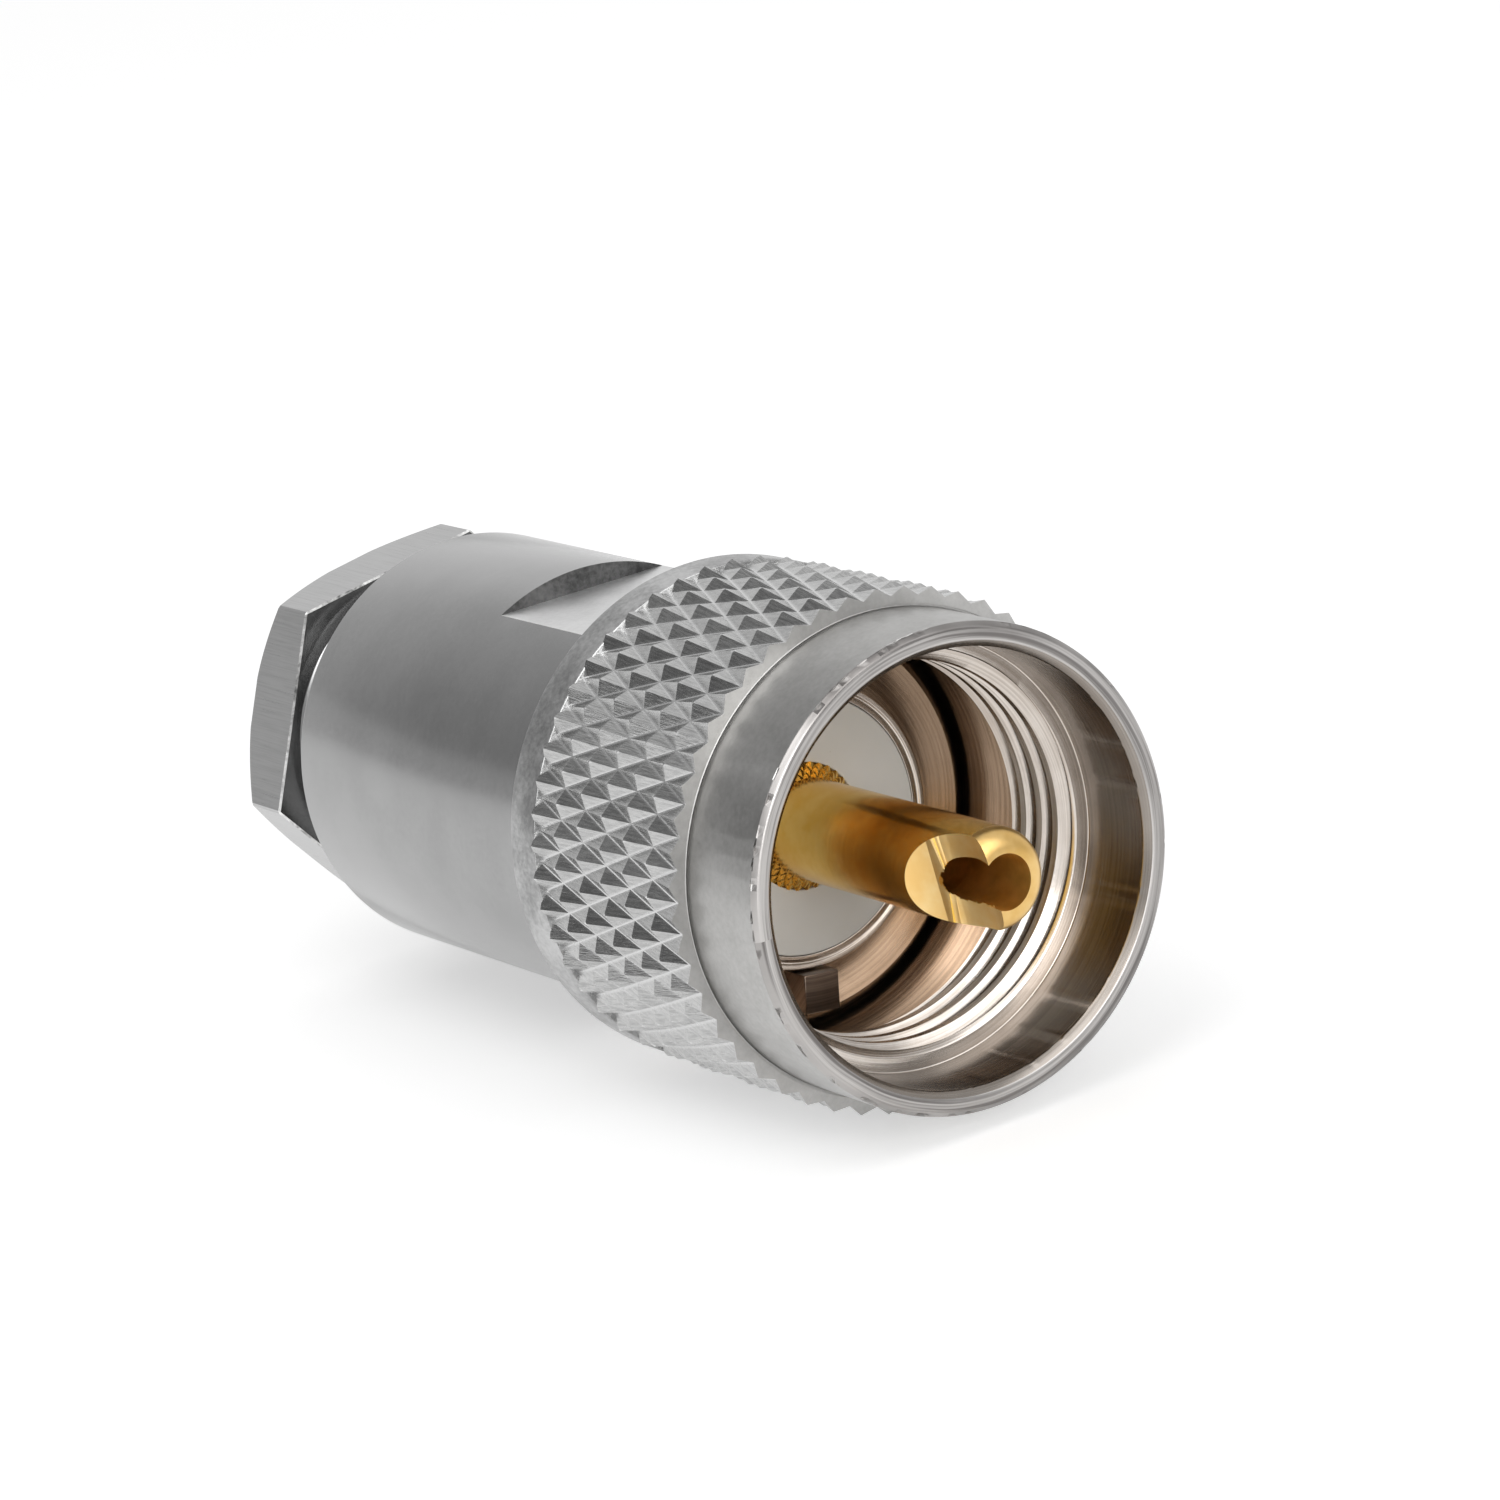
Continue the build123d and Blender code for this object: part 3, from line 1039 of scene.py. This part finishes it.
@dataclass
class FrontShell:
    """The front shell: nose round the insulator, flange with two locating teeth, neck and spigot."""

    nose_face: float = -0.65
    flange_face: float = -1.4
    flange_back: float = -3.0
    barrel_front: float = -6.4
    spigot_end: float = -12.4
    shoulder: float = -7.0
    bore: float = 5.13
    counterbore: float = 5.63
    nose_radius: float = 5.67
    flange_radius: float = 8.2
    flange_chamfer: float = 0.5
    neck_radius: float = 7.42
    spigot_radius: float = 6.6
    spigot_chamfer: float = 0.6
    groove_depth: float = 0.06
    tooth_directions: tuple[float, float] = (263.3, 83.3)
    tooth_inner: float = 5.75
    tooth_outer: float = 7.3
    tooth_width: float = 1.56
    tooth_height: float = 1.4
    tooth_root: float = 0.4
    segments: int = 192

    def tooth(self, direction: float) -> Workpiece:
        """One rectangular tooth that stands on the flange."""
        work = Workpiece()
        bmesh.ops.create_cube(work.mesh, size=1.0)
        size = (self.tooth_height + self.tooth_root, self.tooth_outer - self.tooth_inner, self.tooth_width)
        bmesh.ops.scale(work.mesh, vec=size, verts=work.mesh.verts)
        station = self.flange_face + (self.tooth_height - self.tooth_root) / 2
        middle = Vector((station, (self.tooth_inner + self.tooth_outer) / 2, 0.0))
        bmesh.ops.translate(work.mesh, vec=middle, verts=work.mesh.verts)
        work.soften(0.04)
        turn = Matrix.Rotation(math.radians(direction), 3, "X")
        bmesh.ops.rotate(work.mesh, cent=ORIGIN, matrix=turn, verts=work.mesh.verts)
        return work

    def finish_of(self, middle: Vector, normal: Vector) -> int:
        """The finish of a face: flange and the rest, teeth in painted shade, or the lip round the insulator.
        """
        if middle.x > self.flange_face + 0.03 and radius_of(middle) > self.nose_radius + 0.03:
            return 1
        return 2 if middle.x > self.nose_face - 0.1 else 0

    def build(self) -> bpy.types.Object:
        """Makes the shell.

        Returns:
            Its object.
        """
        groove = self.nose_face - self.groove_depth
        work = Workpiece.turned(
            (
                (self.nose_face, self.bore),
                (self.nose_face, self.bore + 0.16),
                (groove, self.bore + 0.22),
                (groove, self.bore + 0.30),
                (self.nose_face, self.bore + 0.36),
                (self.nose_face, self.nose_radius),
                (self.flange_face, self.nose_radius),
                (self.flange_face, self.flange_radius - self.flange_chamfer),
                (self.flange_face - self.flange_chamfer, self.flange_radius),
                (self.flange_back, self.flange_radius),
                (self.flange_back, self.neck_radius),
                (self.barrel_front, self.neck_radius),
                (self.barrel_front, self.spigot_radius),
                (self.spigot_end, self.spigot_radius),
                (self.spigot_end, self.counterbore + self.spigot_chamfer),
                (self.spigot_end + self.spigot_chamfer, self.counterbore),
                (self.shoulder, self.counterbore),
                (self.shoulder, self.bore),
            ),
            self.segments,
            soft=0.03,
        )
        whole = work.cut(*((Cut.JOIN, self.tooth(direction)) for direction in self.tooth_directions))
        piece = whole.finish("shell_with_teeth", (SHELL_NICKEL, TOOTH_SHADE_NICKEL, MOUTH_NICKEL), self.finish_of)
        return seat(piece, Body.PLUG, Slot.NICKEL, "front_shell")


@dataclass
class Insulator:
    """The insulator bead round the pin."""

    face: float = -0.6
    shoulder: float = -7.05
    back: float = -9.4
    collar_back: float = -1.2
    collar_hole: float = 2.5
    pin_hole: float = 1.78
    radius: float = 5.1
    flange_radius: float = 5.6
    segments: int = 160

    def build(self) -> bpy.types.Object:
        """Makes the insulator.

        Returns:
            Its object.
        """
        work = Workpiece.turned(
            (
                (self.face, self.collar_hole),
                (self.face, self.radius),
                (self.shoulder, self.radius),
                (self.shoulder, self.flange_radius),
                (self.back, self.flange_radius),
                (self.back, self.pin_hole),
                (self.collar_back, self.pin_hole),
                (self.collar_back, self.collar_hole),
            ),
            self.segments,
            soft=0.06,
        )
        piece = work.finish("insulator_bead", (BEAD_WHITE,))
        return seat(piece, Body.PLUG, Slot.INSULATOR, "insulator")


@dataclass
class RearBarrel:
    """The rear barrel with its two wrench flats."""

    front: float = -6.4
    back: float = -25.6
    radius: float = 8.7
    front_bore: float = 6.63
    spigot_end: float = -12.4
    chamber: float = 6.98
    rear_chamfer: float = 0.25
    chamber_chamfer: float = 0.3
    flat_end: float = -14.7
    flat_height: float = 7.8
    wall_depth: float = 0.004
    segments: int = 240

    def mill(self, work: Workpiece) -> None:
        """Mills the two flats next to the ring, above and below the axis."""
        up = (0.0, 0.0, 1.0)
        cuts = (
            ((self.flat_end, 0.0, 0.0), AXIS),
            ((self.flat_end + self.wall_depth, 0.0, 0.0), AXIS),
            ((0.0, 0.0, self.flat_height), up),
            ((0.0, 0.0, -self.flat_height), up),
        )
        for place, normal in cuts:
            whole = work.geometry()
            bmesh.ops.bisect_plane(work.mesh, geom=whole, dist=1e-5, plane_co=place, plane_no=normal)
        for vert in work.mesh.verts:
            if vert.co.x > self.flat_end + self.wall_depth / 2 and abs(vert.co.z) > self.flat_height:
                vert.co.z = math.copysign(self.flat_height, vert.co.z)

    def finish_of(self, middle: Vector, normal: Vector) -> int:
        """The finish of a face: turned faces, the wall that ends a flat (painted shade), or a flat (painted
        light).
        """
        if abs(middle.x - self.flat_end) < 0.01 and normal.x > 0.9:
            return 1
        return 2 if middle.x > self.flat_end and abs(normal.z) > 0.9999 else 0

    def build(self) -> bpy.types.Object:
        """Makes the barrel.

        Returns:
            Its object.
        """
        work = Workpiece.turned(
            (
                (self.front, self.front_bore),
                (self.front, self.radius),
                (self.back + self.rear_chamfer, self.radius),
                (self.back, self.radius - self.rear_chamfer),
                (self.back, self.chamber + self.chamber_chamfer),
                (self.back + self.chamber_chamfer, self.chamber),
                (self.spigot_end, self.chamber),
                (self.spigot_end, self.front_bore),
            ),
            self.segments,
            soft=0.05,
        )
        self.mill(work)
        piece = work.finish("barrel_with_flats", (BARREL_NICKEL, WALL_SHADE_NICKEL, FLAT_LIGHT_NICKEL), self.finish_of)
        return seat(piece, Body.PLUG, Slot.NICKEL, "rear_barrel")


@dataclass
class CableClamp:
    """Braid clamp, gasket and washer inside the barrel."""

    braid_front: float = -12.45
    braid_back: float = -14.2
    nose_length: float = 0.5
    nose_radius: float = 5.55
    gasket_front: float = -14.25
    gasket_back: float = -16.75
    washer_front: float = -19.9
    washer_back: float = -20.7
    cable_way: float = 5.46
    outer_radius: float = 6.9
    segments: int = 128

    def sleeve(self, back: float, front: float, soft: float) -> Workpiece:
        """A plain ring between two stations."""
        way, outer = self.cable_way, self.outer_radius
        profile = ((back, way), (front, way), (front, outer), (back, outer))
        return Workpiece.turned(profile, self.segments, soft)

    def build(self) -> list[bpy.types.Object]:
        """Makes the three pieces.

        Returns:
            Their objects.
        """
        nose_front = self.braid_front + self.nose_length
        braid = Workpiece.turned(
            (
                (nose_front, self.cable_way),
                (nose_front, self.nose_radius),
                (self.braid_front, self.nose_radius + self.nose_length),
                (self.braid_front, self.outer_radius),
                (self.braid_back, self.outer_radius),
                (self.braid_back, self.cable_way),
            ),
            self.segments,
            soft=0.03,
        )
        gasket = self.sleeve(self.gasket_back, self.gasket_front, soft=0.12)
        washer = self.sleeve(self.washer_back, self.washer_front, soft=0.05)
        parts = (
            (braid, "braid_clamp_ring", SHELL_NICKEL, Body.PLUG, Slot.NICKEL, "braid_clamp"),
            (gasket, "cable_gasket", GASKET_BLACK, Body.PLUG, Slot.RUBBER, "gasket"),
            (washer, "slip_washer", SHELL_NICKEL, Body.WASHER, Slot.NICKEL, "clamp_washer"),
        )
        return [
            seat(work.finish(name, (finish,)), body, slot, node)
            for work, name, finish, body, slot, node in parts
        ]


@dataclass
class ClampNut:
    """The hexagonal clamping nut on its threaded shank."""

    shank_front: float = -20.75
    face: float = -28.75
    back: float = -32.25
    across_flats: float = 14.7
    corner_direction: float = 249.5
    shank_radius: float = 6.9
    shank_root: float = 6.36
    shank_chamfer: float = 0.45
    pitch: float = 1.0
    cable_bore: float = 5.4
    edge_chamfer: float = 0.08
    segments: int = 144
    shank_segments: int = 96

    def hexagon(self) -> Workpiece:
        """The hexagonal head, cut off by a cone at its back edge."""
        work = Workpiece()
        corner = self.across_flats / math.sqrt(3.0)
        verts = bmesh.ops.create_circle(work.mesh, cap_ends=True, segments=6, radius=corner)["verts"]
        upright = Matrix.Rotation(math.pi / 2, 3, "Y")
        bmesh.ops.rotate(work.mesh, cent=ORIGIN, matrix=upright, verts=verts)
        placed = work.mesh.verts[:][0].co
        now = math.degrees(math.atan2(placed.z, placed.y))
        turn = Matrix.Rotation(math.radians(self.corner_direction - now), 3, "X")
        bmesh.ops.rotate(work.mesh, cent=ORIGIN, matrix=turn, verts=verts)
        bmesh.ops.translate(work.mesh, vec=(self.back, 0.0, 0.0), verts=verts)
        grown = bmesh.ops.extrude_face_region(work.mesh, geom=work.mesh.faces[:])
        fresh = [item for item in grown["geom"] if isinstance(item, bmesh.types.BMVert)]
        bmesh.ops.translate(work.mesh, vec=(self.face - self.back, 0.0, 0.0), verts=fresh)
        bmesh.ops.recalc_face_normals(work.mesh, faces=work.mesh.faces)
        work.soften(self.edge_chamfer, segments=1)
        inner = self.across_flats / 2
        reach = self.face + 1.0 - self.back
        cone = Workpiece.rod(self.back, self.back + reach, inner, inner + reach, self.segments)
        return work.cut((Cut.KEEP_COMMON, cone))

    def shank(self) -> Workpiece:
        """The threaded shank as a solid screw, chamfered at its front."""
        work = Workpiece()
        root, crest = self.shank_root, self.shank_radius
        work.thread(self.face - 0.6, self.shank_front, root, crest, self.pitch, self.shank_segments)
        chamfer = self.shank_front - self.shank_chamfer
        for vert in work.mesh.verts:
            most = self.shank_radius - max(0.0, vert.co.x - chamfer)
            radius = radius_of(vert.co)
            if radius > most:
                vert.co.y *= most / radius
                vert.co.z *= most / radius
        return work

    def finish_of(self, middle: Vector, normal: Vector) -> int:
        """The finish of a face: milled flats, turned faces or the painted highlight on the edge round the
        face.
        """
        outside = radius_of(middle) > self.shank_radius + 0.2
        if outside and middle.x > self.face - 0.12 and 0.2 < normal.x < 0.97:
            return 2
        return 0 if outside and abs(normal.x) < 0.1 else 1

    def build(self) -> bpy.types.Object:
        """Makes the nut.

        Returns:
            Its object.
        """
        bore = self.cable_bore
        drill = Workpiece.rod(self.back - 1.0, self.shank_front + 1.0, bore, bore, self.segments)
        countersink = Workpiece.rod(self.back - 0.3, self.back + 0.3, bore + 0.6, bore, self.segments)
        cuts = ((Cut.JOIN, self.shank()), (Cut.REMOVE, drill), (Cut.REMOVE, countersink))
        finishes = (NUT_NICKEL, BARREL_NICKEL, EDGE_HIGHLIGHT_NICKEL)
        piece = self.hexagon().cut(*cuts).finish("clamping_nut", finishes, self.finish_of)
        return seat(piece, Body.NUT, Slot.NICKEL, "clamp_nut")


# Studio


@dataclass(frozen=True)
class Zone:
    """A round zone of the studio's surroundings, brighter or darker than the room.

    Attributes:
        towards: The direction of its middle.
        edge: Angle from the middle at which it starts.
        full: Angle within which it is at its full strength.
        strength: How much brighter or darker it is than the room.
    """

    towards: Triple
    edge: float
    full: float
    strength: float

    def level(self, graph: Graph, direction: bpy.types.NodeSocket) -> Level:
        """What it adds to the brightness in a direction."""
        inputs = {0: direction, 1: tuple(Vector(self.towards).normalized())}
        made = graph.node("ShaderNodeVectorMath", {"operation": "DOT_PRODUCT"}, inputs)
        low, high = (math.cos(math.radians(angle)) for angle in (self.edge, self.full))
        return Level(graph, made.outputs["Value"]).between(low, high) * self.strength


@dataclass
class Studio:
    """Camera, floor, world and lamps."""

    eye: Triple = (0.19079, -0.12472, 0.04149)
    forward: Triple = (-0.8310, 0.5308, -0.1662)
    roll_at_rest: float = -11.0
    lens: float = 144.0
    sensor: float = 36.0
    floor_size: float = 4.0
    floor_colour: float = 0.86
    floor_glow: float = 0.40
    aim: Triple = (-0.01, 0.0, 0.0)
    room: float = 0.66
    room_on_plain: float = 0.62
    darkest: float = 0.52
    least: float = 0.06
    horizon: tuple[float, float] = (0.12, 0.16)
    backdrop: Zone = Zone((-0.70, 0.66, 0.25), 69.512685, 41.409622, 0.26)
    dark_side: Zone = Zone((-0.72, -0.40, 0.57), 46.0, 20.0, 0.24)
    dark_high: Zone = Zone((-0.55, -0.20, 0.81), 25.0, 11.0, 0.30)
    dark_left: Zone = Zone((-0.50, -0.83, 0.25), 27.0, 17.0, 0.50)
    dark_front: Zone = Zone((0.96, 0.26, 0.05), 20.0, 16.0, 0.5)
    soft_box: Zone = Zone((0.55, -0.25, 0.80), 38.0, 34.0, 0.7)
    front_box: Zone = Zone((0.80, 0.12, 0.58), 30.0, 24.0, 1.2)

    def camera(self) -> None:
        """Places the camera at the photograph's viewing angle on the plug."""
        turn = Matrix.Rotation(math.radians(self.roll_at_rest), 3, "X")
        ahead = Vector(self.forward).normalized()
        right = ahead.cross(Vector((0.0, 0.0, 1.0))).normalized()
        up = right.cross(ahead)
        axes = Matrix((turn @ right, turn @ up, turn @ -ahead)).transposed()
        data = bpy.data.cameras.new("camera")
        data.lens = self.lens
        data.sensor_width = self.sensor
        data.clip_start = 0.01
        made = linked("camera", data)
        made.matrix_world = Matrix.Translation(turn @ Vector(self.eye)) @ axes.to_4x4()
        bpy.context.scene.camera = made

    @staticmethod
    def seen(graph: Graph) -> tuple[Level, Level]:
        """Whether a ray is the camera's own, and whether it is that or a glossy or transmission ray."""
        path = graph.node("ShaderNodeLightPath", {}, {})
        rays = ("Is Camera Ray", "Is Glossy Ray", "Is Transmission Ray")
        camera, glossy, through = (Level(graph, path.outputs[ray]) for ray in rays)
        return camera, (camera + glossy + through).clamped()

    def world(self) -> None:
        """Lights the plug from all round, with a white backdrop behind it and darker room beside it."""
        world = bpy.data.worlds.new("studio")
        world.use_nodes = True
        bpy.context.scene.world = world
        graph = Graph(world.node_tree)
        direction = graph.node("ShaderNodeTexCoord", {}, {}).outputs["Generated"]
        camera, seen = self.seen(graph)
        side = self.dark_side.level(graph, direction) * graph.parts(direction)[2].between(*self.horizon)
        dark = side + self.dark_high.level(graph, direction) + self.dark_left.level(graph, direction)
        level = self.room + self.backdrop.level(graph, direction) - dark.maths("MINIMUM", self.darkest)
        level = level + self.soft_box.level(graph, direction) + self.front_box.level(graph, direction)
        level = (level - self.dark_front.level(graph, direction)).maths("MAXIMUM", self.least)
        pattern = camera + (1.0 - camera) * level
        shown = seen * pattern + (1.0 - seen) * self.room_on_plain
        inputs = {"Color": (1.0, 1.0, 1.0, 1.0), "Strength": shown}
        background = graph.node("ShaderNodeBackground", {}, inputs)
        graph.node("ShaderNodeOutputWorld", {}, {"Surface": background.outputs[0]})

    def floor(self, height: float) -> None:
        """Lays the pale floor, which looks white and keeps the plug's shadow.

        Args:
            height: The plug's lowest point.
        """
        material = bpy.data.materials.new("pale_floor")
        material.use_nodes = True
        graph = Graph(material.node_tree)
        seen = self.seen(graph)[1]
        diffuse = graph.node("ShaderNodeBsdfDiffuse", {}, {"Color": (*grey(self.floor_colour), 1.0)})
        glow = graph.node("ShaderNodeEmission", {}, {"Strength": seen * self.floor_glow})
        both = graph.node("ShaderNodeAddShader", {}, {0: diffuse.outputs[0], 1: glow.outputs[0]})
        graph.node("ShaderNodeOutputMaterial", {}, {"Surface": both.outputs[0]})
        mesh = bmesh.new()
        bmesh.ops.create_grid(mesh, x_segments=1, y_segments=1, size=self.floor_size)
        bmesh.ops.translate(mesh, vec=(0.0, 0.0, height), verts=mesh.verts)
        made = linked("pale_floor", mesh)
        made.data.materials.append(material)
        made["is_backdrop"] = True

    def lamp(self, name: str, place: Triple, size: float, radiance: float) -> None:
        """Hangs a square soft box that points at the plug.

        Args:
            name: The lamp's name.
            place: Where it hangs, in metres.
            size: Its side.
            radiance: How bright its face is, where 1 is white.
        """
        data = bpy.data.lights.new(name, "AREA")
        data.size = size
        data.energy = radiance * math.pi * size * size
        made = linked(name, data)
        made.location = place
        made.rotation_euler = (Vector(place) - Vector(self.aim)).to_track_quat("Z", "Y").to_euler()

    def build(self, lowest: float) -> None:
        """Sets up the whole studio."""
        self.camera()
        self.world()
        self.floor(lowest)
        self.lamp("key_box", (0.10, -0.22, 0.42), size=0.30, radiance=1.6)
        self.lamp("front_box", (0.42, -0.10, 0.15), size=0.24, radiance=3.0)
        bpy.context.scene.view_settings.view_transform = "Standard"


def corners(box: Iterable[Vector]) -> list[list[float]]:
    """A box's corners as plain lists."""
    return [[float(value) for value in corner] for corner in box]


def main() -> None:
    """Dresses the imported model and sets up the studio."""
    logging.basicConfig(level=logging.INFO, format="%(name)s: %(message)s")
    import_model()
    packed = corners(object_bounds())
    Studio().build(packed[0][2])
    for maker in (CouplingRing, CentrePin, FrontShell, Insulator, RearBarrel, CableClamp, ClampNut):
        made = maker().build()
        for piece in made if isinstance(made, list) else [made]:
            log.info("%s is in place", piece.name)


if __name__ == "__main__":
    main()
